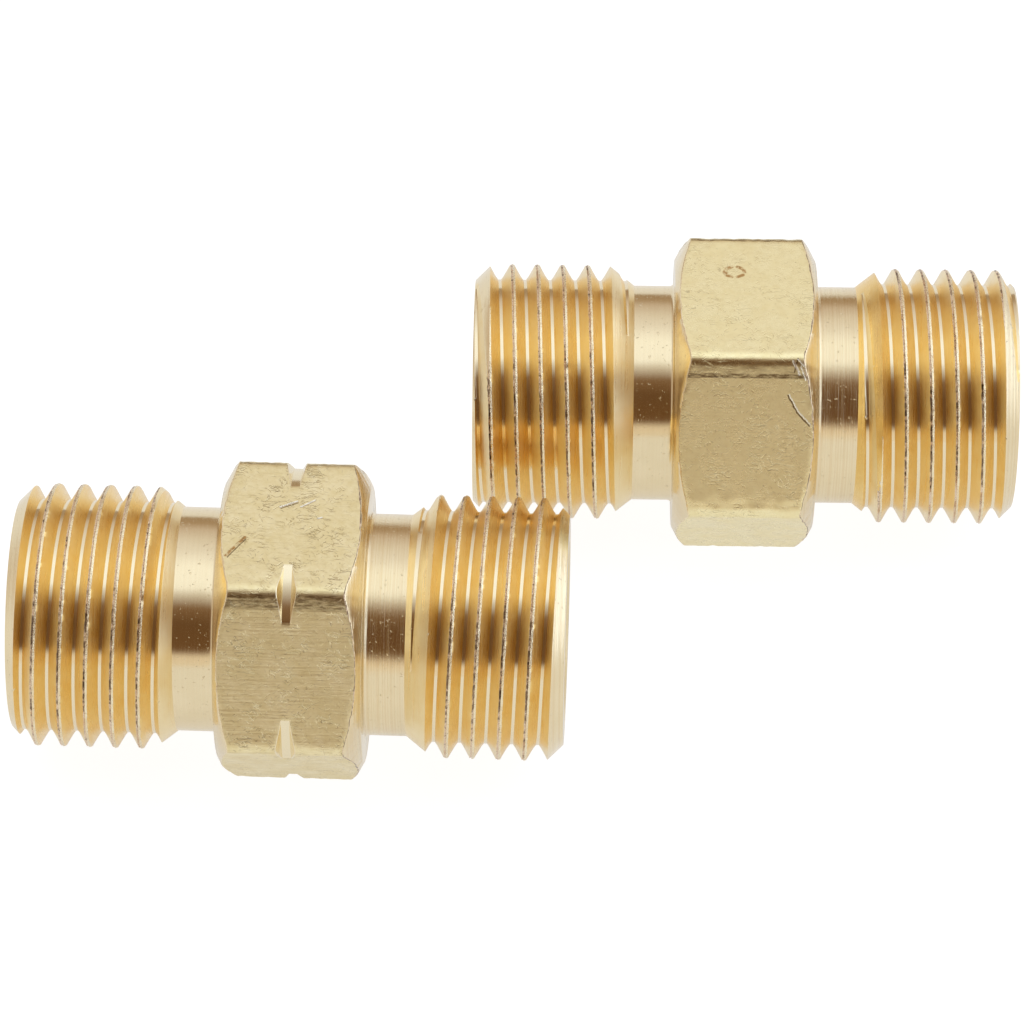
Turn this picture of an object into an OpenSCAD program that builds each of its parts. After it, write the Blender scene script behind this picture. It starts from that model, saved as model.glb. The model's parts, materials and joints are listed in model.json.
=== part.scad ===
// Pair of brass hose unions. Each one joins two gas hoses end to end, and is turned from one hex bar.
// The left-hand union has left-hand threads, and a groove turned round its hex that marks it so.
// The right-hand union has right-hand threads and a plain hex.
// They lie loose beside each other, each on a flat of its hex, with their axes nearly along X.
// Z = 0 is the surface they lie on. The origin is midway between the two hexes. Millimetres.

/* [Body] */
// Length of a union over its end faces
body_len = 30.2; // [29.4:0.1:33]
// How much shorter the right end of the left-hand union is faced
lh_trim = 0.4; // [0:0.1:0.6]
// Diameter of the turned neck between the hex and a thread
neck_d = 12.1; // [11.4:0.05:12.2]
// Length of the neck
neck_len = 2.25; // [1.6:0.05:3]

/* [Hex] */
// Distance across the flats
hex_af = 15.875; // [15.5:0.125:17]
// Width of the hex along the union
hex_w = 7.9; // [6:0.1:9]
// How far the corners of the bar are rounded back
corner_cut = 0.065; // [0.02:0.005:0.25]
// Width of the flat ring left on the hex's end face, outside the neck
face_ring = 1.45; // [0.8:0.05:1.6]
// Chamfer of the hex, in degrees from its end face
hex_chamfer = 28; // [15:1:35]
// Fillet between neck and hex
neck_fillet = 0.25; // [0.1:0.05:0.5]

/* [Left-hand groove] */
// Depth of the groove below the hex's corners
groove_depth = 0.7; // [0.4:0.05:0.9]
// Width of the groove's floor
groove_floor = 0.45; // [0.2:0.05:0.8]
// Slope of each side of the groove, in degrees from square
groove_slope = 25; // [0:1:35]

/* [Thread] */
// Major diameter, 9/16 inch
thread_d = 14.2875; // [14:0.0125:14.5]
// Threads per inch
tpi = 18; // [16:1:20]
// Depth of the thread
thread_depth = 0.87; // [0.7:0.01:0.95]
// Diameter of the end face, where the lead-in chamfer starts
tip_d = 12.5; // [11.5:0.1:13]
// Lead-in chamfer, in degrees from the axis
tip_chamfer = 45; // [30:1:60]
// Shoulder between neck and thread, in degrees from the axis
shoulder = 38; // [30:1:60]

/* [Thread starts] */
// Where the crest crosses the underside on the left-hand union's left end, in parts of a pitch
lh_left_start = 0.93; // [0:0.01:0.99]
// The same on its right end
lh_right_start = 0.78; // [0:0.01:0.99]
// The same on the right-hand union's left end
rh_left_start = 0.63; // [0:0.01:0.99]
// The same on its right end
rh_right_start = 0.61; // [0:0.01:0.99]

/* [Gas way] */
// Diameter of the gas way
bore_d = 6.4; // [5:0.1:7]
// Diameter of the conical seat at each mouth
seat_d = 9.8; // [8:0.1:10.4]
// Slope of the seat, in degrees from the axis
seat_angle = 45; // [30:1:60]

/* [Layout] */
// Distance between the two hexes along X
pair_dx = 24.7; // [24:0.1:60]
// Distance between the two hexes along Y
pair_dy = 16.75; // [16.6:0.05:40]
// How far the left-hand union is turned clockwise, seen from above
lh_yaw = 2.3; // [0:0.1:5]
// How far the right-hand union is turned clockwise, seen from above
rh_yaw = 1; // [0:0.1:5]

/* [Hidden] */

$fn = 96;
brass = [0.80, 0.66, 0.38];
pitch = 25.4 / tpi;
neck_r = neck_d / 2;
hex_half = hex_w / 2;
hex_r = hex_af / 2 / cos(30) - corner_cut;
ring_r = neck_r + face_ring;
chamfer_w = (hex_r - ring_r) * tan(hex_chamfer);
groove_r = hex_r - groove_depth;
groove_top = groove_floor / 2 + groove_depth * tan(groove_slope);
neck_end = hex_half + neck_len;
axis_z = hex_af / 2;

// Thread form over one pitch: the crest, the two flanks and a root with a dip in its middle.
// A turn and a pitch are both cut into SEG divisions, so that every row lands on the same steps.
SEG = 64;
FORM = 5;
crest_div = 8;
root_div = 10;
flank_div = (SEG - crest_div - root_div) / 2;
crest_r = thread_d / 2;
root_r = crest_r - thread_depth;
root_dip = 0.04;
tip_r = min(tip_d / 2, root_r - root_dip);

function form_div(i) =
    i == 0 ? 0 :
    i == 1 ? crest_div :
    i == 2 ? crest_div + flank_div :
    i == 3 ? crest_div + flank_div + root_div / 2 :
    SEG - flank_div;

function form_r(i) = i < 2 ? crest_r : i == 3 ? root_r - root_dip : root_r;

// One threaded end along +Z, from inside the neck at z_in to the end face at z_out.
// hand is 1 for a right-hand thread and -1 for a left-hand one.
module thread(z_out, hand, start) {
    dz = pitch / SEG;
    divs = round((z_out - neck_end) / dz) + 16;
    z_in = z_out - divs * dz;
    r_in = neck_r - (neck_end - z_in) * tan(shoulder);
    turns = ceil(divs / SEG) + 4;
    rows = turns * FORM;
    lead = round((start * pitch - z_in) / dz) % SEG;
    shift = (lead < 0 ? lead + SEG : lead) - 2 * SEG - crest_div / 2 + 0.5;

    function height(k, j) =
        let (d = floor(k / FORM) * SEG + form_div(k % FORM) + hand * j + shift)
        min(divs, max(0, d));
    function radius(k, d) =
        min(form_r(k % FORM),
            r_in + d * dz * tan(shoulder),
            tip_r + (divs - d) * dz * tan(tip_chamfer));
    function point(k, j) =
        let (d = height(k, j), r = radius(k, d), a = 360 * j / SEG)
        [r * cos(a), r * sin(a), z_in + d * dz];
    // Past the last division a row goes on as the row one pitch further along
    function row(k, j) = j < SEG ? k : min(rows - 1, max(0, k + hand * FORM));
    function index(k, j) = row(k, j) * SEG + j % SEG;
    function corner(k, j) = height(row(k, j), j % SEG);
    function flat_row(k, j) = corner(k, j) == corner(k + 1, j);

    points = [for (k = [0 : rows - 1]) for (j = [0 : SEG - 1]) point(k, j)];
    // Rows that are held at an end coincide there, so their faces are left out
    faces = [
        for (k = [0 : rows - 2]) for (j = [0 : SEG - 1])
            for (half = [0, 1])
                if (!flat_row(k, j + half))
                    half == 0
                        ? [index(k, j), index(k + 1, j), index(k + 1, j + 1)]
                        : [index(k, j), index(k + 1, j + 1), index(k, j + 1)],
        [for (j = [0 : SEG - 1]) j],
        [for (j = [SEG - 1 : -1 : 0]) (rows - 1) * SEG + j]
    ];
    polyhedron(points, faces, convexity = 12);
}

// Everything round about the middle: both necks and the turned outline of the hex
module turned_middle(grooved, end_in) {
    outline = [
        [0, -end_in],
        [neck_r, -end_in],
        [neck_r, -hex_half - neck_fillet],
        [neck_r + neck_fillet, -hex_half],
        [ring_r, -hex_half],
        [hex_r, -hex_half + chamfer_w],
        if (grooved) each [
            [hex_r, -groove_top],
            [groove_r, -groove_floor / 2],
            [groove_r, groove_floor / 2],
            [hex_r, groove_top]
        ],
        [hex_r, hex_half - chamfer_w],
        [ring_r, hex_half],
        [neck_r + neck_fillet, hex_half],
        [neck_r, hex_half + neck_fillet],
        [neck_r, end_in],
        [0, end_in]
    ];
    rotate_extrude() polygon(outline);
}

// The bar's hex, turned so that a flat faces down once the union lies on its side.
// It is long enough to hold the necks too, which are smaller than its flats.
module hex_bar(len) {
    rotate([0, 0, 30]) cylinder(r = hex_af / 2 / cos(30), h = len, center = true, $fn = 6);
}

// Conical seat cut into an end face at height z, opening towards +Z
module seat(z) {
    depth = (seat_d - bore_d) / 2 / tan(seat_angle);
    lip = 0.5;
    translate([0, 0, z - depth - lip])
        cylinder(
            r1 = bore_d / 2 - lip * tan(seat_angle),
            r2 = seat_d / 2 + lip * tan(seat_angle),
            h = depth + 2 * lip
        );
}

// A whole union along Z. left and right are the distances from hex to end face.
module union_body(hand, grooved, left, right, left_start, right_start) {
    core = min(left, right) - 2;
    difference() {
        union() {
            intersection() {
                turned_middle(grooved, core);
                hex_bar(2 * core + 2);
            }
            thread(right, hand, right_start);
            rotate([180, 0, 0]) thread(left, hand, left_start);
        }
        cylinder(d = bore_d, h = left + right + 10, center = true);
        seat(right);
        rotate([180, 0, 0]) seat(left);
    }
}

// Lay a union down along +X on a flat of its hex
module lay(x, y, yaw) {
    translate([x, y, axis_z]) rotate([0, 0, -yaw]) rotate([0, 90, 0]) children();
}

module left_hand_union() {
    color(brass)
        lay(-pair_dx / 2, -pair_dy / 2, lh_yaw)
            union_body(-1, true, body_len / 2, body_len / 2 - lh_trim, lh_left_start, lh_right_start);
}

module right_hand_union() {
    color(brass)
        lay(pair_dx / 2, pair_dy / 2, rh_yaw)
            union_body(1, false, body_len / 2, body_len / 2, rh_left_start, rh_right_start);
}

left_hand_union();
right_hand_union();
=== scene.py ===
"""Looks for the pair of brass hose unions: two turned pieces with real threads, lying on a white table.

Each union is one closed shell, made in its own frame: X along its gas way, origin at the middle of its hex.
Lengths are in millimetres until a shell is finished, and angles round the axis start at the front, going up."""

import json
import math

import bmesh
import bpy
import numpy as np
from mathutils import Matrix, Vector


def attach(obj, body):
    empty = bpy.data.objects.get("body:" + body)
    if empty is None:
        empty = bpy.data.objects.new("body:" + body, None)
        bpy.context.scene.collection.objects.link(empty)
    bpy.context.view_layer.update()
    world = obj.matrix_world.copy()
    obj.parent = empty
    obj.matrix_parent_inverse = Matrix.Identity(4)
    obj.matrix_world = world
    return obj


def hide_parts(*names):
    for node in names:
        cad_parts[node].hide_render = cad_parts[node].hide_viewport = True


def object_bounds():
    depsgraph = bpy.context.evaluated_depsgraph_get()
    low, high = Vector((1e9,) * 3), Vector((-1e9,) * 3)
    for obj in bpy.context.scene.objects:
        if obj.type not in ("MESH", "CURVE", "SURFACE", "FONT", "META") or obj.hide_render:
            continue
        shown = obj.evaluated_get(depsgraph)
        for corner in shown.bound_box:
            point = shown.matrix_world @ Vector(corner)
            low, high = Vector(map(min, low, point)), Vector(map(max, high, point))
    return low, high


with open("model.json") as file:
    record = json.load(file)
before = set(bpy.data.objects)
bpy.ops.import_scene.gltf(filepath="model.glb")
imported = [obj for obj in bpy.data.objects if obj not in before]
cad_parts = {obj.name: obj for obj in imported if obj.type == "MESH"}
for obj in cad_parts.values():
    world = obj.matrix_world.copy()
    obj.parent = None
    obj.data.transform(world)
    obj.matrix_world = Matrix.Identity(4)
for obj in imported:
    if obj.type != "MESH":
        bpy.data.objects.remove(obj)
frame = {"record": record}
cad_low, cad_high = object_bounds()

MM = 0.001

# ---------------------------------------------------------------- sizes, as in the CAD model
HEX_AF = 15.875
HEX_HALF = 3.95
CORNER_ROUND = 0.8
RING_R = 7.5
CHAMFER = math.tan(math.radians(28))
GROOVE_R = 8.4
GROOVE_FLOOR = 0.45
GROOVE_SLOPE = math.tan(math.radians(25))
NECK_END = 6.2
FILLET = 0.25
PITCH = 25.4 / 18
CREST_R = 14.2875 / 2
CREST_HALF = 1 / 16
ROOT_R = CREST_R - 0.87
SHOULDER = math.tan(math.radians(38))
TIP_R = 6.22
TIP_CHAMFER = math.tan(math.radians(45))
BORE_R = 3.2
SEAT_R = 4.9

# Each row of a shell has this many points round the axis
COLS = 384
DEGREES = np.arange(COLS) * 360 / COLS
TURN = np.radians(DEGREES)

# Rows across half a pitch of thread, in parts of a pitch from the middle of the crest: the burr's crease, where
# the burr ends, the flank, and the flat root
CREASE, BURR_HALF, ROOT_HALF = 0.036, 0.08, 0.06
HALF_FORM = [CREASE, BURR_HALF, 0.17, 0.35, 0.5 - ROOT_HALF]
FORM = [0] + HALF_FORM + [0.5] + [1 - part for part in HALF_FORM[::-1]]

# How ragged the burr is, and how deep its crease, the tears in it, its lip and their pits are cut
BURR_RAGGED, CREASE_DEPTH, TEAR_DEPTH, LIP_DEPTH, LIP_PITS, CREST_PITS = 0.018, 0.03, 0.07, 0.018, 0.02, 0.014

# A point's row is told by its part of a pitch, to within this much
SAME_ROW = 0.01

# Points closer than this are welded, and edges bent more than this many degrees stay sharp
WELD, SHARP = 0.0015, 32

# Marks on the flats are placed in millimetres round the bar at this radius, up from its front
FACE_R = 8.5

# The material slots of a shell
TURNED, LEFT_FLANK, RIGHT_FLANK, ROOT, BURR, TEAR, FLAT, GROOVE, BORE = range(9)


# ---------------------------------------------------------------- shells
def smooth_noise(rng, rows, wave):
    """Noise from -1 to 1 for each row and column, smoothed over about wave columns."""
    raw = rng.uniform(-1, 1, (rows, COLS))
    reach = max(1, int(wave * 3))
    kernel = np.exp(-0.5 * (np.arange(-reach, reach + 1) / wave) ** 2)
    wrapped = np.concatenate([raw[:, -reach:], raw, raw[:, :reach]], axis=1)
    out = np.array([np.convolve(row, kernel, "valid") for row in wrapped])
    return out / np.abs(out).max()


class Shell:
    """A closed surface made of grids whose rows go round the axis."""

    def __init__(self):
        self.points, self.faces, self.slots, self.count = [], [], [], 0

    def grid(self, along, radius, slots, shift=0):
        """Joins rows in order. slots has each strip's material. A helix goes on shift rows away at the wrap."""
        rows = len(along)
        ring = np.stack([along, -radius * np.cos(TURN), radius * np.sin(TURN)], -1)
        self.points.append(ring.reshape(-1, 3))
        k, j = np.meshgrid(np.arange(rows - 1), np.arange(COLS), indexing="ij")
        wrap = j == COLS - 1
        near = np.where(wrap, np.clip(k + shift, 0, rows - 1), k)
        far = np.where(wrap, np.clip(k + 1 + shift, 0, rows - 1), k + 1)
        right = (j + 1) % COLS
        quads = np.stack([k * COLS + j, (k + 1) * COLS + j, far * COLS + right, near * COLS + right], -1)
        self.faces.append(quads.reshape(-1, 4) + self.count)
        self.slots.append(np.broadcast_to(slots, (COLS, rows - 1)).T.reshape(-1))
        self.count += rows * COLS

    def lathe(self, outline):
        """Rows from (along, radius, slot) entries. The slot is that of the strip up to the next row."""
        full = np.ones(COLS)
        along = np.array([a * full for a, _, _ in outline])
        radius = np.array([r * full for _, r, _ in outline])
        self.grid(along, radius, np.array([slot * np.ones(COLS, int) for _, _, slot in outline[:-1]]).T)

    def mesh(self, name):
        """One welded mesh, in metres, with its sharp edges marked."""
        mesh = bpy.data.meshes.new(name)
        points = np.concatenate(self.points) * MM
        mesh.from_pydata(points.tolist(), [], np.concatenate(self.faces).tolist())
        mesh.polygons.foreach_set("material_index", np.concatenate(self.slots).astype(np.int32))
        welded = bmesh.new()
        welded.from_mesh(mesh)
        bmesh.ops.remove_doubles(welded, verts=welded.verts, dist=WELD * MM)
        loose = [v for v in welded.verts if not v.link_faces]
        bmesh.ops.delete(welded, geom=loose, context="VERTS")
        welded.to_mesh(mesh)
        welded.free()
        mesh.polygons.foreach_set("use_smooth", [True] * len(mesh.polygons))
        mesh.set_sharp_from_angle(angle=math.radians(SHARP))
        return mesh


def from_crest(part):
    """How far a part of a pitch is from the middle of the nearest crest."""
    return np.abs((part + 0.5) % 1 - 0.5)


def form_radius(part):
    """Radius of the thread at a part of a pitch: flat crest, straight flanks and flat root."""
    flank = CREST_R - (from_crest(part) - CREST_HALF) * PITCH / math.tan(math.radians(30))
    root = np.where(from_crest(part) > 0.5 - ROOT_HALF - 0.001, ROOT_R, 0)
    return np.clip(np.where(root > 0, root, flank), ROOT_R, CREST_R)


def threaded_end(shell, rng, neck_r, low, high, start, hand, tip_is_low, nicks, shoulder_slot):
    """One thread from low to high along X, with a shoulder at its neck end and a chamfer at its tip."""
    turns = math.ceil((high - low) / PITCH) + 6
    base = math.floor(low / PITCH) - 3
    part = (np.arange(turns)[:, None] + np.array(FORM)[None, :]).reshape(-1)
    lean = hand * (DEGREES + 90) / 360
    along = (base + part[:, None] + start % 1 - lean[None, :]) * PITCH
    thread = np.repeat(form_radius(part)[:, None], COLS, axis=1)

    # The die has thrown up a burr along the crest: a torn crease on its left and a bright lip on its right
    phase = (part[:, None] + 0.5) % 1 - 0.5
    away = np.abs(phase)
    torn = np.clip(smooth_noise(rng, turns + 1, 3) + 0.4, 0, 1)[np.rint(part).astype(int)]
    ragged = smooth_noise(rng, len(part), 0.7)
    on_burr = away < BURR_HALF + SAME_ROW
    along = along + on_burr * BURR_RAGGED * ragged
    thread = thread - (np.abs(phase + CREASE) < SAME_ROW) * (CREASE_DEPTH + TEAR_DEPTH * torn)
    thread = thread - (np.abs(phase - CREASE) < SAME_ROW) * LIP_DEPTH
    thread = thread - (phase < -SAME_ROW) * on_burr * LIP_PITS * np.abs(ragged)
    thread = thread - (away < SAME_ROW) * CREST_PITS * np.abs(smooth_noise(rng, len(part), 0.9))
    thread = thread + (away > 0.14) * (away < 0.4) * 0.003 * smooth_noise(rng, len(part), 6)
    for near, angle, depth in nicks:
        bent = np.exp(-(((DEGREES - angle) / 1.5) ** 2)) * np.exp(-(((along - near) / 0.13) ** 2))
        thread = thread - depth * bent

    along = np.clip(along, low, high)
    from_tip, from_neck = (along - low, high - along) if tip_is_low else (high - along, along - low)
    tip_cone, neck_cone = TIP_R + from_tip * TIP_CHAMFER, neck_r + from_neck * SHOULDER
    envelope = np.minimum(tip_cone, neck_cone)
    gap = thread - envelope
    radius = np.minimum(thread, envelope)
    # Where the thread runs out into a cone, the nearer point moves onto the line where they meet
    crossing = (gap[:-1] * gap[1:] < 0) & (along[1:] - along[:-1] > 0.002)
    share = np.where(crossing, gap[:-1] / np.where(crossing, gap[:-1] - gap[1:], 1), 0)
    meet_along = along[:-1] + share * (along[1:] - along[:-1])
    meet_radius = envelope[:-1] + share * (envelope[1:] - envelope[:-1])
    for nearer, rows in ((share < 0.5, slice(None, -1)), (share >= 0.5, slice(1, None))):
        taken = crossing & nearer
        along[rows][taken] = meet_along[taken]
        radius[rows][taken] = meet_radius[taken]

    middle = (part[:-1] + part[1:]) / 2
    leans_right = (middle + 0.5) % 1 > 0.5
    # Left-facing flanks take a material painted lighter, right-facing ones one painted darker and more orange:
    # painted light and shade
    slots = np.where(leans_right, RIGHT_FLANK, LEFT_FLANK)
    # The crest's right half takes the burr's painted highlight, its left half the torn crease's painted shade
    slots = np.where(from_crest(middle) < BURR_HALF, np.where(leans_right, BURR, TEAR), slots)
    slots = np.where(from_crest(middle) > 0.5 - ROOT_HALF, ROOT, slots)
    slots = np.repeat(slots[:, None], COLS, axis=1)
    cut = np.where(crossing, (gap[:-1] > 0) == (share >= 0.5), (gap[:-1] > 0) & (gap[1:] > 0))
    slots = np.where(cut, np.where(tip_cone < neck_cone, TURNED, shoulder_slot)[:-1], slots)
    shell.grid(along, radius, slots.T, -hand * len(FORM))


def bar_radius():
    """Distance from the axis to the bar's surface in each column, with the bar's corners rounded."""
    from_flat = np.radians(DEGREES % 60 - 30)
    flat = HEX_AF / 2 / np.cos(from_flat)
    centre = (HEX_AF / 2 - CORNER_ROUND) / math.cos(math.radians(30))
    from_corner = math.radians(30) - np.abs(from_flat)
    aside = centre * np.sin(from_corner)
    arc = centre * np.cos(from_corner) + np.sqrt(np.clip(CORNER_ROUND**2 - aside**2, 0, None))
    return np.where(aside < CORNER_ROUND / 2, np.minimum(arc, flat), flat)


def worn(rng, wave, depth):
    """How far a row's edge is worn back in each column, up to a depth."""
    return depth * np.clip(smooth_noise(rng, 1, wave)[0], 0, 1)


def knocked(rng, bar):
    """The bar's surface with its corners dented a little, for one row."""
    near_corner = np.clip((bar - HEX_AF / 2 - 0.62) / 0.3, 0, 1)
    return bar - 0.045 * near_corner * np.clip(smooth_noise(rng, 1, 1.5)[0], -0.2, 1)


def hex_side(sign, neck_r, edge, bar):
    """Rows from a neck's far end up to the edge of the flats, on the left (-1) or right (1)."""
    rows = [(sign * (NECK_END + (HEX_HALF + FILLET - NECK_END) * t), neck_r) for t in (0, 0.25, 0.5, 0.75)]
    for angle in np.radians([0, 30, 60, 90]):
        along = sign * (HEX_HALF + FILLET * (1 - math.sin(angle)))
        rows.append((along, neck_r + FILLET * (1 - math.cos(angle))))
    inner = neck_r + FILLET
    rows += [(sign * HEX_HALF, inner + (RING_R - inner) * t) for t in (0.5, 0.97)]
    for t in (0.03, 0.5, 0.95):
        rows.append((sign * (HEX_HALF + (edge - HEX_HALF) * t), RING_R + (bar - RING_R) * t))
    return [(a, r, TURNED) for a, r in rows]


def hex_body(shell, rng, neck_left, neck_right, grooved):
    """The hex between its two necks: end faces, turned chamfers, flats and, on one union, the groove."""
    bar = bar_radius()
    bar = bar - worn(rng, 4, 0.02) * (bar > 8.8)
    edge = HEX_HALF - (bar - RING_R) * CHAMFER
    left_edge, right_edge = (edge - worn(rng, 1.2, 0.06) for _ in range(2))
    # The flats start and stop a strip in from those edges, and the right strip's width varies
    strip = 0.05
    start, stop = strip - left_edge, right_edge - strip - worn(rng, 1.5, 0.07)
    outline = hex_side(-1, neck_left, left_edge, bar)
    # The strip at the flats' left edge takes the burr's painted highlight, and the strip at their right edge
    # the torn crease's painted shade
    outline += [(0.015 - left_edge, bar - 0.012, BURR), (start, bar, FLAT)]
    if grooved:
        floor_r = np.minimum(bar, GROOVE_R)
        cut = bar > GROOVE_R
        side, floor = np.where(cut, GROOVE, FLAT), np.where(cut, GROOVE, FLAT)
        top = GROOVE_FLOOR / 2 + (bar - floor_r) * GROOVE_SLOPE
        lip = np.where(cut, 0.02, 0)
        inset = np.where(cut, 0.015, -0.01)
        outline += [(start + (-top - start) * t, knocked(rng, bar), FLAT) for t in np.linspace(0.08, 0.92, 10)]
        outline += [(-top - 0.02, bar, side), (inset - top, bar - lip, side)]
        outline += [(GROOVE_FLOOR * t, floor_r, floor) for t in (-0.5, -0.43, 0, 0.43)]
        outline += [(GROOVE_FLOOR * 0.5, floor_r, side)]
        outline += [(top - inset, bar - lip, side), (top + 0.02, bar, FLAT)]
        outline += [(top + (stop - top) * t, knocked(rng, bar), FLAT) for t in np.linspace(0.08, 0.92, 10)]
    else:
        outline += [(start + (stop - start) * t, knocked(rng, bar), FLAT) for t in np.linspace(0.04, 0.96, 22)]
    outline += [(stop, bar, TEAR), (right_edge - 0.015, bar - 0.02, TURNED)]
    right = hex_side(1, neck_right, right_edge, bar)[::-1]
    shell.lathe(outline + right)


def mouth(sign, face):
    """Rows across one end face, from its outer edge to the rim of the seat."""
    rim = 0.08
    rows = [(face, TIP_R), (face, TIP_R - 0.05), (face, (TIP_R + SEAT_R) / 2), (face, SEAT_R + rim)]
    rows.append((face - sign * rim / 2, SEAT_R))
    return [(a, r, TURNED) for a, r in rows]


def gas_way(shell, left, right):
    """From the right end face through its seat, the bore and the other seat to the left end face."""
    cone = SEAT_R - BORE_R
    seat = [(cone / 2, (SEAT_R + BORE_R) / 2), (cone - 0.05, BORE_R + 0.05), (cone + 0.05, BORE_R)]
    outline = mouth(1, right)[:-1] + [(right - 0.04, SEAT_R, BORE)]
    outline += [(right - deep, r, BORE) for deep, r in seat]
    first, last = right - cone - 0.05, left + cone + 0.05
    outline += [(first + (last - first) * t, BORE_R, BORE) for t in (0.2, 0.4, 0.6, 0.8)]
    outline += [(left + deep, r, BORE) for deep, r in seat[::-1]]
    shell.lathe(outline + mouth(-1, left)[::-1])


def union(name, seed, hand, grooved, left, right, necks, starts, nicks, shoulders):
    """One whole union as a single closed shell. left and right are where its end faces are along X."""
    rng = np.random.default_rng(seed)
    shell = Shell()
    threaded_end(shell, rng, necks[0], left, -NECK_END, -starts[0], hand, True, nicks, shoulders[0])
    hex_body(shell, rng, necks[0], necks[1], grooved)
    threaded_end(shell, rng, necks[1], NECK_END, right, starts[1], hand, False, nicks, shoulders[1])
    gas_way(shell, left, right)
    return bpy.data.objects.new(name, shell.mesh(name))


# ---------------------------------------------------------------- materials
class Nodes:
    """Adds shader nodes to a tree. An input is given as a number, a colour or another node's socket."""

    def __init__(self, tree):
        self.tree = tree
        tree.nodes.clear()

    def add(self, kind, inputs=None, out=0, **settings):
        node = self.tree.nodes.new("ShaderNode" + kind)
        for key, value in settings.items():
            setattr(node, key, value)
        for key, value in (inputs or {}).items():
            if isinstance(value, bpy.types.NodeSocket):
                self.tree.links.new(value, node.inputs[key])
            else:
                node.inputs[key].default_value = value
        return node.outputs[out]

    def math(self, operation, a, b=0.0, clamp=False):
        return self.add("Math", {0: a, 1: b}, operation=operation, use_clamp=clamp)

    def split(self, vector):
        """The sockets of a vector's three parts."""
        return self.add("SeparateXYZ", {0: vector}).node.outputs

    def stretch(self, vector, by):
        return self.add("VectorMath", {0: vector, 1: by}, operation="MULTIPLY")

    def moved(self, vector, by):
        return self.add("VectorMath", {0: vector, 1: by}, operation="ADD")

    def noise(self, vector, scale=1.0, detail=2.0, rough=0.5):
        return self.add("TexNoise", {"Vector": vector, "Scale": scale, "Detail": detail, "Roughness": rough})

    def span(self, value, low, high, to_low=0.0, to_high=1.0):
        """Maps low..high to to_low..to_high, held at both ends."""
        given = {"Value": value, "From Min": low, "From Max": high, "To Min": to_low, "To Max": to_high}
        return self.add("MapRange", given, interpolation_type="SMOOTHSTEP")

    def mix(self, share, a, b, blend="MIX"):
        """Mixes two colours."""
        node = self.tree.nodes.new("ShaderNodeMix")
        node.data_type, node.blend_type = "RGBA", blend
        for index, value in ((0, share), (6, a), (7, b)):
            if isinstance(value, bpy.types.NodeSocket):
                self.tree.links.new(value, node.inputs[index])
            else:
                node.inputs[index].default_value = value
        return node.outputs[2]

    def output(self, shader):
        out = self.tree.nodes.new("ShaderNodeOutputMaterial")
        self.tree.links.new(shader, out.inputs[0])


def millimetres(nodes):
    """The union's own coordinates, in millimetres."""
    place = nodes.add("TexCoord", out=3)
    return nodes.stretch(place, (1000, 1000, 1000))


def rgb(r, g, b):
    return (r, g, b, 1)


BRASS = rgb(0.90, 0.77, 0.51)


def finish_brass(nodes, colour, roughness, height, depth_mm, anisotropy=0.0):
    """The brass shader: a metal with its own colour, roughness and surface height in millimetres."""
    normal = nodes.add("Bump", {"Height": height, "Distance": depth_mm * MM, "Strength": 1.0})
    inputs = {"Base Color": colour, "Metallic": 1.0, "Roughness": roughness, "Normal": normal}
    if anisotropy:
        inputs["Anisotropic"] = anisotropy
        inputs["Anisotropic Rotation"] = 0.25
        inputs["Tangent"] = nodes.add("Tangent", direction_type="RADIAL", axis="X")
    nodes.output(nodes.add("BsdfPrincipled", inputs))


def turned_brass(nodes):
    """Lathe-turned: fine lines round the axis, coarser on the right of each hex than on its left."""
    place = millimetres(nodes)
    fine = nodes.noise(nodes.stretch(place, (16, 0.05, 0.05)), detail=4, rough=0.75)
    broad = nodes.noise(nodes.stretch(place, (7, 0.012, 0.012)), detail=3, rough=0.7)
    stain = nodes.noise(place, 0.6, detail=4)
    specks = nodes.span(nodes.noise(place, 4, detail=4, rough=0.7), 0.68, 0.75)
    along = nodes.split(place)[0]
    coarse = nodes.span(along, -0.5, 0.5, 0.4, 1.3)
    height = nodes.math("MULTIPLY", nodes.math("ADD", nodes.math("MULTIPLY", fine, 0.5), broad), coarse)
    pits = nodes.span(nodes.noise(place, 5, detail=3, rough=0.6), 0.66, 0.72)
    height = nodes.math("SUBTRACT", height, nodes.math("MULTIPLY", pits, 0.6))
    colour = nodes.mix(nodes.span(stain, 0.35, 0.7), BRASS, rgb(0.87, 0.74, 0.48))
    lines = nodes.math("MULTIPLY", nodes.span(broad, 0.42, 0.56, 1.0, 0.0), coarse)
    colour = nodes.mix(nodes.math("MULTIPLY", lines, 0.25), colour, rgb(0.80, 0.60, 0.34))
    colour = nodes.mix(nodes.math("MULTIPLY", specks, 0.6), colour, rgb(0.35, 0.22, 0.10))
    smoother = nodes.span(along, -0.5, 0.5, 0.42, 0.4)
    rough = nodes.math("MULTIPLY", nodes.span(fine, 0.3, 0.7, 0.3, 0.5), smoother)
    finish_brass(nodes, colour, rough, height, 0.024, 0.6)


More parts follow.
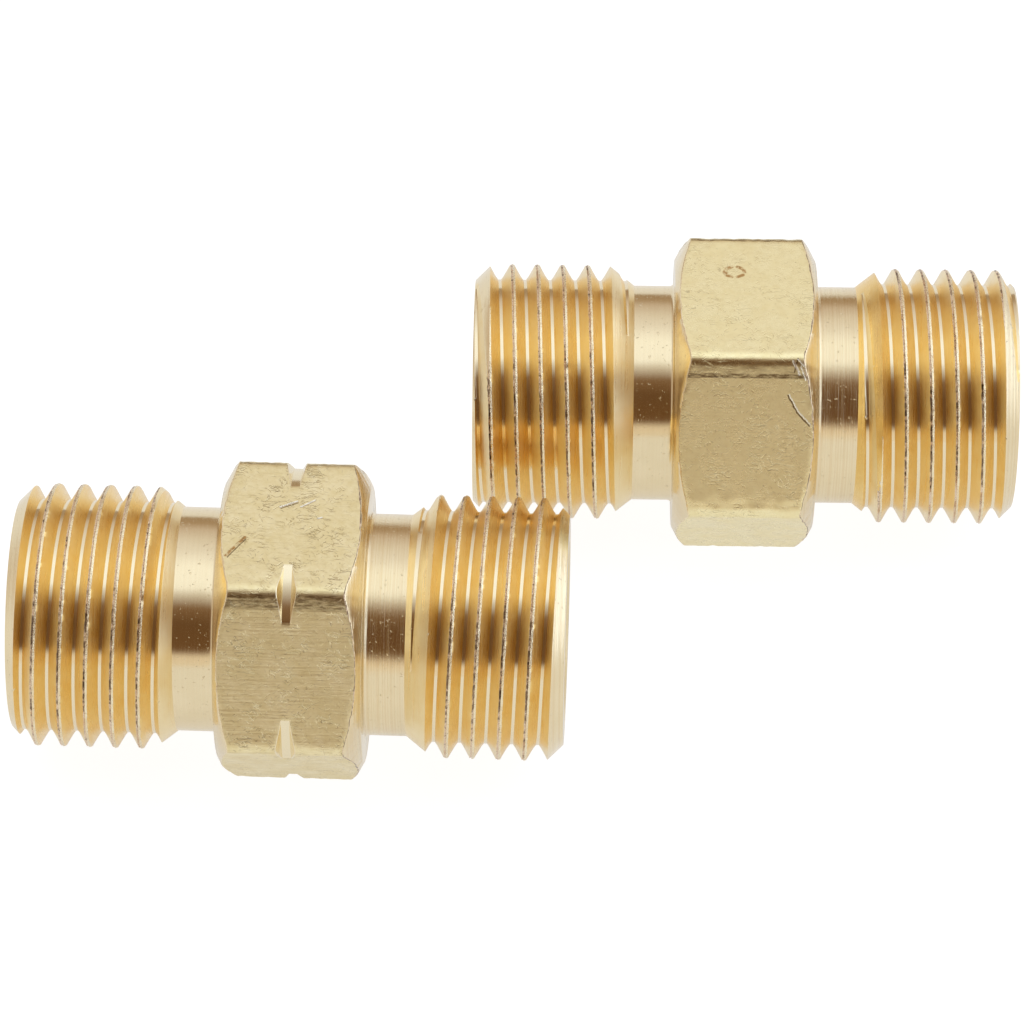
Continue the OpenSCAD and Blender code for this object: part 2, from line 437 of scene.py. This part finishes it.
def flank_brass(nodes, clean, worn, low, high):
    """Cut flanks, with streaks from the die. Their golden colour is partly painted reflection of the flanks in
    each other.
    """
    place = millimetres(nodes)
    streak = nodes.noise(nodes.stretch(place, (10, 0.22, 0.22)), detail=4, rough=0.65)
    grain = nodes.noise(place, 5, detail=3, rough=0.6)
    stain = nodes.noise(place, 0.9, detail=4)
    blotch = nodes.span(nodes.noise(place, 2.6, detail=4, rough=0.7), 0.66, 0.76)
    colour = nodes.mix(nodes.span(stain, 0.35, 0.7), clean, worn)
    colour = nodes.mix(nodes.span(streak, 0.3, 0.55, 0.3, 0.0), colour, rgb(0.86, 0.62, 0.30))
    colour = nodes.mix(nodes.math("MULTIPLY", blotch, 0.2), colour, rgb(0.60, 0.40, 0.17))
    height = nodes.math("ADD", streak, nodes.math("MULTIPLY", grain, 0.12))
    finish_brass(nodes, colour, nodes.span(streak, 0.3, 0.7, low, high), height, 0.014, 0.72)


# Left-facing flanks, painted lighter: painted light from the left
def left_flank_painted_light_brass(nodes):
    flank_brass(nodes, rgb(0.97, 0.825, 0.51), rgb(0.945, 0.775, 0.44), 0.26, 0.38)


# Right-facing flanks, painted darker and more orange: painted shade and painted reflection
def right_flank_painted_shade_brass(nodes):
    flank_brass(nodes, rgb(0.96, 0.71, 0.295), rgb(0.93, 0.65, 0.225), 0.24, 0.36)


def root_brass(nodes):
    """The thread's root, burnished by the crest of the tool."""
    place = millimetres(nodes)
    streak = nodes.noise(nodes.stretch(place, (12, 0.3, 0.3)), detail=3)
    finish_brass(nodes, rgb(0.92, 0.80, 0.55), nodes.span(streak, 0.3, 0.7, 0.1, 0.16), streak, 0.003)


def burr_painted_highlight_brass(nodes):
    """The lip of the burr along each crest, and of the hex's left edges, painted lighter than the brass as a
    highlight.
    """
    place = millimetres(nodes)
    grit = nodes.noise(place, 9, detail=3, rough=0.7)
    pits = nodes.span(nodes.noise(place, 5, detail=4, rough=0.7), 0.58, 0.66)
    stain = nodes.span(nodes.noise(place, 1.2, detail=4), 0.35, 0.65)
    # The light end of this tone is a painted highlight
    tone = nodes.mix(stain, rgb(0.98, 0.87, 0.61), rgb(0.90, 0.74, 0.47))
    colour = nodes.mix(nodes.math("MULTIPLY", pits, 0.5), tone, rgb(0.42, 0.26, 0.13))
    finish_brass(nodes, colour, nodes.span(grit, 0.35, 0.65, 0.14, 0.34), grit, 0.03)


def tear_grime_and_shade_brass(nodes):
    """The torn crease beside the burr and the hex's right edges: rough and pitted, and dark with grime
    and with painted shade of the crease.

    On the threads this dark is thinner low down and near the top."""
    place = millimetres(nodes)
    along, _, up = nodes.split(place)
    grit = nodes.noise(place, 8, detail=4, rough=0.75)
    pits = nodes.noise(nodes.stretch(place, (3.5, 2.6, 2.6)), detail=4, rough=0.7)
    lower = nodes.span(up, -3.0, 3.0, 0.15, 0.0)
    upper = nodes.span(up, 4.8, 6.8, 0.0, 0.11)
    on_thread = nodes.span(nodes.math("ABSOLUTE", along), 4.5, 5.5)
    faded = nodes.math("MULTIPLY", nodes.math("ADD", lower, upper), on_thread)
    where = nodes.math("ADD", faded, nodes.span(nodes.noise(place, 0.5), 0.4, 0.6, 0.0, 0.07))
    # The dark is partly grime and pits and partly painted shade of the crease
    dirt_and_shade = nodes.span(nodes.math("SUBTRACT", pits, where), 0.37, 0.52)
    tone = nodes.mix(nodes.noise(place, 2.5, detail=3), rgb(0.93, 0.76, 0.56), rgb(0.84, 0.64, 0.44))
    colour = nodes.mix(nodes.math("MULTIPLY", dirt_and_shade, 0.78), tone, rgb(0.13, 0.07, 0.03))
    finish_brass(nodes, colour, nodes.span(grit, 0.35, 0.65, 0.14, 0.4), grit, 0.06)


def face_place(nodes):
    """Millimetres along the bar and round it, for marks that lie on its flats."""
    along, back, up = nodes.split(millimetres(nodes))
    turn = nodes.math("ARCTAN2", up, nodes.math("MULTIPLY", back, -1.0))
    return nodes.add("CombineXYZ", {0: along, 1: nodes.math("MULTIPLY", turn, FACE_R)})


def scratches(nodes, place, angle, length, width, share):
    """Short straight marks in one direction, one to a cell, in a given share of the cells."""
    turned = nodes.add("VectorRotate", {"Vector": place, "Angle": math.radians(angle)}, rotation_type="Z_AXIS")
    given = {"Vector": nodes.stretch(turned, (1 / length, 1 / width, 1)), "Scale": 1.0}
    cells = nodes.add("TexVoronoi", given, voronoi_dimensions="2D").node.outputs
    chosen = nodes.math("LESS_THAN", nodes.add("SeparateColor", {0: cells["Color"]}), share)
    return nodes.math("MULTIPLY", nodes.span(cells["Distance"], 0.1, 0.26, 1.0, 0.0), chosen)


def deepest(nodes, masks):
    """The strongest of several masks."""
    result = masks[0]
    for mask in masks[1:]:
        result = nodes.math("MAXIMUM", result, mask)
    return result


def line_mark(nodes, place, start, end, width):
    """A single scratch from start to end on the flats."""
    span = [e - s for s, e in zip(start, end)]
    squared = sum(v * v for v in span)
    away = nodes.add("VectorMath", {0: place, 1: (*start, 0)}, operation="SUBTRACT")
    direction = (*(v / squared for v in span), 0)
    part = nodes.add("VectorMath", {0: away, 1: direction}, out=1, operation="DOT_PRODUCT")
    held = nodes.add("Clamp", {0: part})
    reached = nodes.add("VectorMath", {0: (*span, 0), "Scale": held}, operation="SCALE")
    gap = nodes.add("VectorMath", {0: away, 1: reached}, operation="SUBTRACT")
    distance = nodes.add("VectorMath", {0: gap}, out=1, operation="LENGTH")
    return nodes.span(distance, width * 0.4, width, 1.0, 0.0)


def corner_painted_shade(nodes, face, grit, at, width, strength):
    """A broken band of painted shade along the flats, centred at a distance round the bar."""
    gap = nodes.math("ABSOLUTE", nodes.math("SUBTRACT", nodes.split(face)[1], at))
    broken = nodes.span(grit, 0.38, 0.6, 0.2 * strength, strength)
    return nodes.math("MULTIPLY", nodes.span(gap, width * 0.5, width, 1.0, 0.0), broken)


def flat_brass(nodes, shift, bright, dark, brown, shade_bands, wear, lined, gloss, clean, dull):
    """Drawn bar: dull and slightly green, with lines along the bar, dents, scratches and dark specks.

    The scratches carry painted highlights with painted shadows beside them, and broken stripes of painted
    shade run below the corners.
    """
    face = face_place(nodes)
    # Shifted, so that the two unions don't carry the same random marks
    place = nodes.moved(millimetres(nodes), (shift, 0, shift))
    random = nodes.moved(face, (shift, shift, 0))
    drawn = nodes.noise(nodes.stretch(random, (0.22, 9, 1)), detail=5, rough=0.7)
    grain = nodes.noise(place, 10, detail=4, rough=0.7)
    patch = nodes.noise(place, 0.7, detail=6, rough=0.65)
    mottle = nodes.noise(place, 2.6, detail=5, rough=0.7)
    grit = nodes.noise(nodes.stretch(random, (1.8, 9, 1)), detail=5, rough=0.75)
    specks = nodes.span(nodes.noise(place, 5, detail=4, rough=0.7), 0.68 - 0.03 * wear, 0.73 - 0.03 * wear)
    bent = nodes.moved(random, nodes.stretch(nodes.noise(face, 1.3), (0.5, 0.5, 0)))
    marks = nodes.moved(face, nodes.stretch(nodes.noise(face, 2.5), (0.12, 0.12, 0)))
    busy = nodes.span(nodes.noise(random, 0.45, detail=3), 0.42, 0.6, 0.25, 1.0)
    dents = deepest(nodes, [
        scratches(nodes, bent, 21, 1.1, 0.10, 0.22), scratches(nodes, bent, 67, 0.5, 0.10, 0.12),
        scratches(nodes, bent, -37, 0.7, 0.11, 0.2), scratches(nodes, bent, 3, 2.1, 0.08, 0.18),
        scratches(nodes, bent, 49, 1.3, 0.07, 0.1),
    ])
    dents = nodes.math("MULTIPLY", nodes.math("MULTIPLY", dents, busy), 1.8 * wear - 0.6)
    stains = deepest(nodes, [
        scratches(nodes, bent, -3, 1.9, 0.10, 0.12), scratches(nodes, bent, 58, 0.5, 0.10, 0.12),
        scratches(nodes, bent, 24, 0.8, 0.08, 0.16), scratches(nodes, bent, -41, 0.5, 0.08, 0.14),
    ])
    scratch_highlight = deepest(nodes, [line_mark(nodes, marks, *mark) for mark in bright])
    # Painted shadows beside the scratches and along the nick
    worn = [line_mark(nodes, marks, *mark) for mark in dark]
    rust = deepest(nodes, [line_mark(nodes, marks, *mark) for mark in brown])
    flaked = nodes.span(nodes.noise(place, 4, detail=3, rough=0.6), 0.38, 0.54, 0.2, 1.0)
    rust = nodes.math("MULTIPLY", rust, flaked)
    # Painted shade in broken stripes below the hex's corners
    corner_shade = [corner_painted_shade(nodes, face, grit, *band) for band in shade_bands]
    faint = [nodes.math("MULTIPLY", specks, 0.6)]
    faint += [nodes.math("MULTIPLY", nodes.math("MULTIPLY", stains, busy), 0.6 * wear)]
    front = nodes.span(nodes.split(face)[1], 8.6, 9.2, 1.0, 0.3)
    # Painted shade of the scratches and the corners, with real specks and stains
    dirt_and_shade = deepest(nodes, worn + corner_shade + faint)
    colour = nodes.mix(nodes.span(patch, 0.3, 0.7), clean, dull)
    colour = nodes.mix(nodes.span(mottle, 0.38, 0.7, 0.0, 0.05 + 0.45 * wear), colour, rgb(0.80, 0.66, 0.33))
    lines = nodes.math("MULTIPLY", nodes.span(drawn, 0.34, 0.5, lined, 0.0), front)
    colour = nodes.mix(lines, colour, rgb(0.62, 0.47, 0.22))
    colour = nodes.mix(nodes.math("MULTIPLY", rust, 0.85), colour, rgb(0.45, 0.22, 0.06))
    colour = nodes.mix(nodes.math("MULTIPLY", dirt_and_shade, 0.92), colour, rgb(0.16, 0.09, 0.035))
    # Painted highlights along the scratches
    colour = nodes.mix(scratch_highlight, colour, rgb(0.99, 0.95, 0.82))
    height = nodes.math("MULTIPLY", nodes.math("MULTIPLY", drawn, 1.2 * lined), front)
    height = nodes.math("ADD", height, nodes.math("MULTIPLY", grain, 0.05 + 0.3 * wear))
    height = nodes.math("SUBTRACT", height, nodes.math("MULTIPLY", dents, 0.7))
    height = nodes.math("SUBTRACT", height, nodes.math("MULTIPLY", scratch_highlight, 0.8))
    dull_patch = nodes.span(patch, 0.3, 0.7, gloss, gloss + 0.08)
    rough = nodes.math("SUBTRACT", dull_patch, nodes.math("MULTIPLY", dents, 0.1))
    finish_brass(nodes, colour, rough, height, 0.012 + 0.011 * wear)


def left_flat_brass(nodes):
    """The left-hand union's flats. Each mark goes from one point on the flats to another, with its width."""
    # Painted highlights along scratches
    bright = [
        ((-0.62, 14.81), (0.25, 15.26), 0.085), ((0.47, 14.86), (1.18, 15.36), 0.075),
        ((1.45, 14.05), (1.62, 14.1), 0.08),
    ]
    # Painted shadows beside the scratches and along the nick
    dark = [((-0.58, 14.7), (0.3, 15.14), 0.035), ((-2.3, 12.35), (-3.2, 11.0), 0.04)]
    brown = [((-2.37, 12.46), (-3.3, 11.1), 0.12)]
    # Stripes of painted shade below the corners: where round the bar, width and strength
    shade_bands = [(8.42, 0.5, 0.85), (17.75, 0.14, 0.7)]
    flat_brass(
        nodes, 0.0, bright, dark, brown, shade_bands, wear=1.0, lined=0.45, gloss=0.3,
        clean=rgb(0.975, 0.86, 0.54), dull=rgb(0.89, 0.76, 0.43),
    )


def right_flat_brass(nodes):
    """The right-hand union's flats, with a broken brown ring on the upper one."""
    # Painted highlights along scratches
    bright = [
        ((2.36, 7.11), (2.9, 6.1), 0.045), ((2.9, 6.1), (3.56, 5.36), 0.04),
        ((2.56, 8.86), (2.9, 8.2), 0.08), ((2.8, 8.95), (3.3, 8.5), 0.05), ((3.0, 8.6), (3.25, 7.9), 0.05),
    ]
    # Painted shadows beside the scratches
    dark = [
        ((2.28, 7.06), (2.82, 6.05), 0.055), ((2.82, 6.05), (3.5, 5.27), 0.055),
        ((2.8, 9.0), (2.6, 8.3), 0.05),
    ]
    turns = np.radians(np.arange(0, 361, 36))
    ring = [(-0.62 + 0.56 * math.cos(a), 15.4 + 0.4 * math.sin(a)) for a in turns]
    brown = [(ring[i], ring[i + 1], 0.15) for i in (0, 1, 3, 4, 5, 6, 8)]
    # Stripes of painted shade below the corners: where round the bar, width and strength
    shade_bands = [(8.02, 0.16, 1.0), (8.45, 0.5, 0.4), (17.72, 0.2, 0.8)]
    flat_brass(
        nodes, 37.3, bright, dark, brown, shade_bands, wear=0.6, lined=0.10, gloss=0.24,
        clean=rgb(0.995, 0.89, 0.54), dull=rgb(0.985, 0.865, 0.50),
    )


def groove_brass(nodes):
    """The marking groove: clean and bright."""
    place = millimetres(nodes)
    lines = nodes.noise(nodes.stretch(place, (20, 0.2, 0.2)), detail=2)
    finish_brass(nodes, rgb(0.92, 0.81, 0.56), 0.16, lines, 0.004, 0.5)


def bore_brass(nodes):
    """Drilled and countersunk: coarser turning lines."""
    place = millimetres(nodes)
    lines = nodes.noise(nodes.stretch(place, (7, 0.2, 0.2)), detail=3)
    finish_brass(nodes, rgb(0.85, 0.71, 0.46), 0.27, lines, 0.012, 0.4)


def make_material(name, build):
    material = bpy.data.materials.new(name)
    material.use_nodes = True
    build(Nodes(material.node_tree))
    return material


MADE = {}


def brass_set(flat):
    """One material for each slot, the flats' own one given. The others are shared by both unions."""
    builders = [turned_brass, left_flank_painted_light_brass, right_flank_painted_shade_brass, root_brass, burr_painted_highlight_brass, tear_grime_and_shade_brass, flat]
    builders += [groove_brass, bore_brass]
    for build in builders:
        if build not in MADE:
            MADE[build] = make_material("brass_" + build.__name__, build)
    return [MADE[build] for build in builders]


# ---------------------------------------------------------------- the two unions, where the CAD has them
MOUNTS = {m["name"]: m for m in frame["record"]["mounts"]}


def place_union(side, node, body, slot, flat, **shape):
    """Builds a union, lays it where its CAD node lies, and lets it stand for that node."""
    centre = Vector(MOUNTS[f"{side}_union_rest"]["pos_m"]) + Vector((0, 0, HEX_AF / 2 * MM))
    axis = Vector(MOUNTS[f"{side}_union_gas_way"]["axis"])
    ends = [(Vector(MOUNTS[f"{side}_union_thread_{e}"]["pos_m"]) - centre).dot(axis) / MM for e in "ab"]
    piece = union(node + "_brass", left=ends[0], right=ends[1], **shape)
    bpy.context.scene.collection.objects.link(piece)
    for material in brass_set(flat):
        piece.data.materials.append(material)
    piece.matrix_world = Matrix.Translation(centre) @ Matrix.Rotation(math.atan2(axis.y, axis.x), 4, "Z")
    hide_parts(node)
    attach(piece, body)
    return piece


place_union(
    "left", "left_hand_union", "left_hand", "left_hand_brass", left_flat_brass,
    seed=3, hand=-1, grooved=True, necks=(6.08, 6.01), starts=(0.93, 0.78),
    nicks=[(-7.79, 57.3, 0.12)], shoulders=(LEFT_FLANK, LEFT_FLANK),
)
place_union(
    "right", "right_hand_union", "right_hand", "right_hand_brass", right_flat_brass,
    seed=8, hand=1, grooved=False, necks=(6.02, 6.07), starts=(0.63, 0.61),
    nicks=[(-9.94, 58, 0.12), (12.87, 87, 0.1)], shoulders=(LEFT_FLANK, RIGHT_FLANK),
)


# ---------------------------------------------------------------- stage, light and camera
def make_floor():
    """A white light table: it glows, so that the unions throw hardly any shadow on it."""
    size, glow_in_reflections, glow_seen = 3.0, 0.65, 0.92
    mesh = bpy.data.meshes.new("floor")
    corners = [(-size, -size, 0), (size, -size, 0), (size, size, 0), (-size, size, 0)]
    mesh.from_pydata(corners, [], [(0, 1, 2, 3)])
    floor = bpy.data.objects.new("floor", mesh)
    bpy.context.scene.collection.objects.link(floor)
    material = bpy.data.materials.new("table_white")
    material.use_nodes = True
    nodes = Nodes(material.node_tree)
    seen = nodes.add("LightPath", out=0)
    glow = nodes.span(seen, 0, 1, glow_in_reflections, glow_seen)
    inputs = {"Base Color": rgb(0.25, 0.25, 0.25), "Roughness": 0.6, "Emission Color": rgb(1, 1, 1)}
    inputs.update({"Emission Strength": glow, "Specular IOR Level": 0.0})
    nodes.output(nodes.add("BsdfPrincipled", inputs))
    mesh.materials.append(material)


# What a shiny cylinder sees as it turns from the front horizon (0) over the top to the back one (180 degrees)
SKY = [
    (0, (0.82, 0.75, 0.66)),
    (10, (0.80, 0.70, 0.59)),
    (17, (0.15, 0.075, 0.03)),
    (45, (0.14, 0.073, 0.032)),
    (62, (0.22, 0.128, 0.068)),
    (75, (0.70, 0.67, 0.65)),
    (82, (1.06, 1.1, 1.17)),
    (105, (1.08, 1.12, 1.18)),
    (124, (0.87, 0.86, 0.88)),
    (140, (0.77, 0.73, 0.71)),
    (156, (0.62, 0.53, 0.47)),
    (166, (0.42, 0.31, 0.21)),
    (180, (0.36, 0.26, 0.17)),
]
LEFT_SIDE, RIGHT_SIDE = (0.63, 0.53, 0.45), (1.38, 1.5, 1.75)


def make_studio():
    """Soft light from above and behind, with the dark of the room on the camera's side."""
    world = bpy.data.worlds.new("studio")
    bpy.context.scene.world = world
    world.use_nodes = True
    nodes = Nodes(world.node_tree)
    direction = nodes.add("TexCoord", out=0)
    right, back, up = nodes.split(direction)
    angle = nodes.math("ARCTAN2", up, nodes.math("MULTIPLY", back, -1.0))
    share = nodes.math("DIVIDE", angle, math.pi, clamp=True)
    ramp = nodes.tree.nodes.new("ShaderNodeValToRGB")
    stops = ramp.color_ramp.elements
    while len(stops) < len(SKY):
        stops.new(0.5)
    for stop, (degrees, colour) in zip(stops, SKY):
        stop.position = degrees / 180
        stop.color = rgb(*colour)
    nodes.tree.links.new(share, ramp.inputs[0])
    sideways = nodes.span(nodes.math("ABSOLUTE", right), 0.5, 0.85)
    side = nodes.mix(nodes.math("GREATER_THAN", right, 0.0), rgb(*LEFT_SIDE), rgb(*RIGHT_SIDE))
    light = nodes.mix(sideways, ramp.outputs[0], side)
    seen = nodes.add("LightPath", out=0)
    colour = nodes.mix(seen, light, rgb(1, 1, 1))
    background = nodes.add("Background", {"Color": colour, "Strength": 1.0})
    out = nodes.tree.nodes.new("ShaderNodeOutputWorld")
    nodes.tree.links.new(background, out.inputs[0])


def make_camera():
    """The photograph's view: a long lens, looking down at 49 degrees onto both unions."""
    distance, elevation, pixels, focal_pixels = 0.30, 48.86, 1024, 5432.0
    # The picture's middle, from the middle of the part
    aside, nearer = 0.571, 0.425
    target = (cad_low + cad_high) / 2 - Vector((aside, nearer, 0)) * MM
    target.z = HEX_AF / 2 * MM
    slope = math.radians(elevation)
    back = Vector((0, -math.cos(slope), math.sin(slope)))
    data = bpy.data.cameras.new("camera")
    data.sensor_width = 36
    data.lens = focal_pixels / pixels * data.sensor_width
    data.clip_start, data.clip_end = 0.01, 20
    camera = bpy.data.objects.new("camera", data)
    bpy.context.scene.collection.objects.link(camera)
    camera.location = target + back * distance
    camera.rotation_mode = "QUATERNION"
    camera.rotation_quaternion = (-back).to_track_quat("-Z", "Y")
    bpy.context.scene.camera = camera


make_floor()
make_studio()
make_camera()
bpy.context.scene.view_settings.view_transform = "Standard"
bpy.context.scene.cycles.glossy_bounces = 8
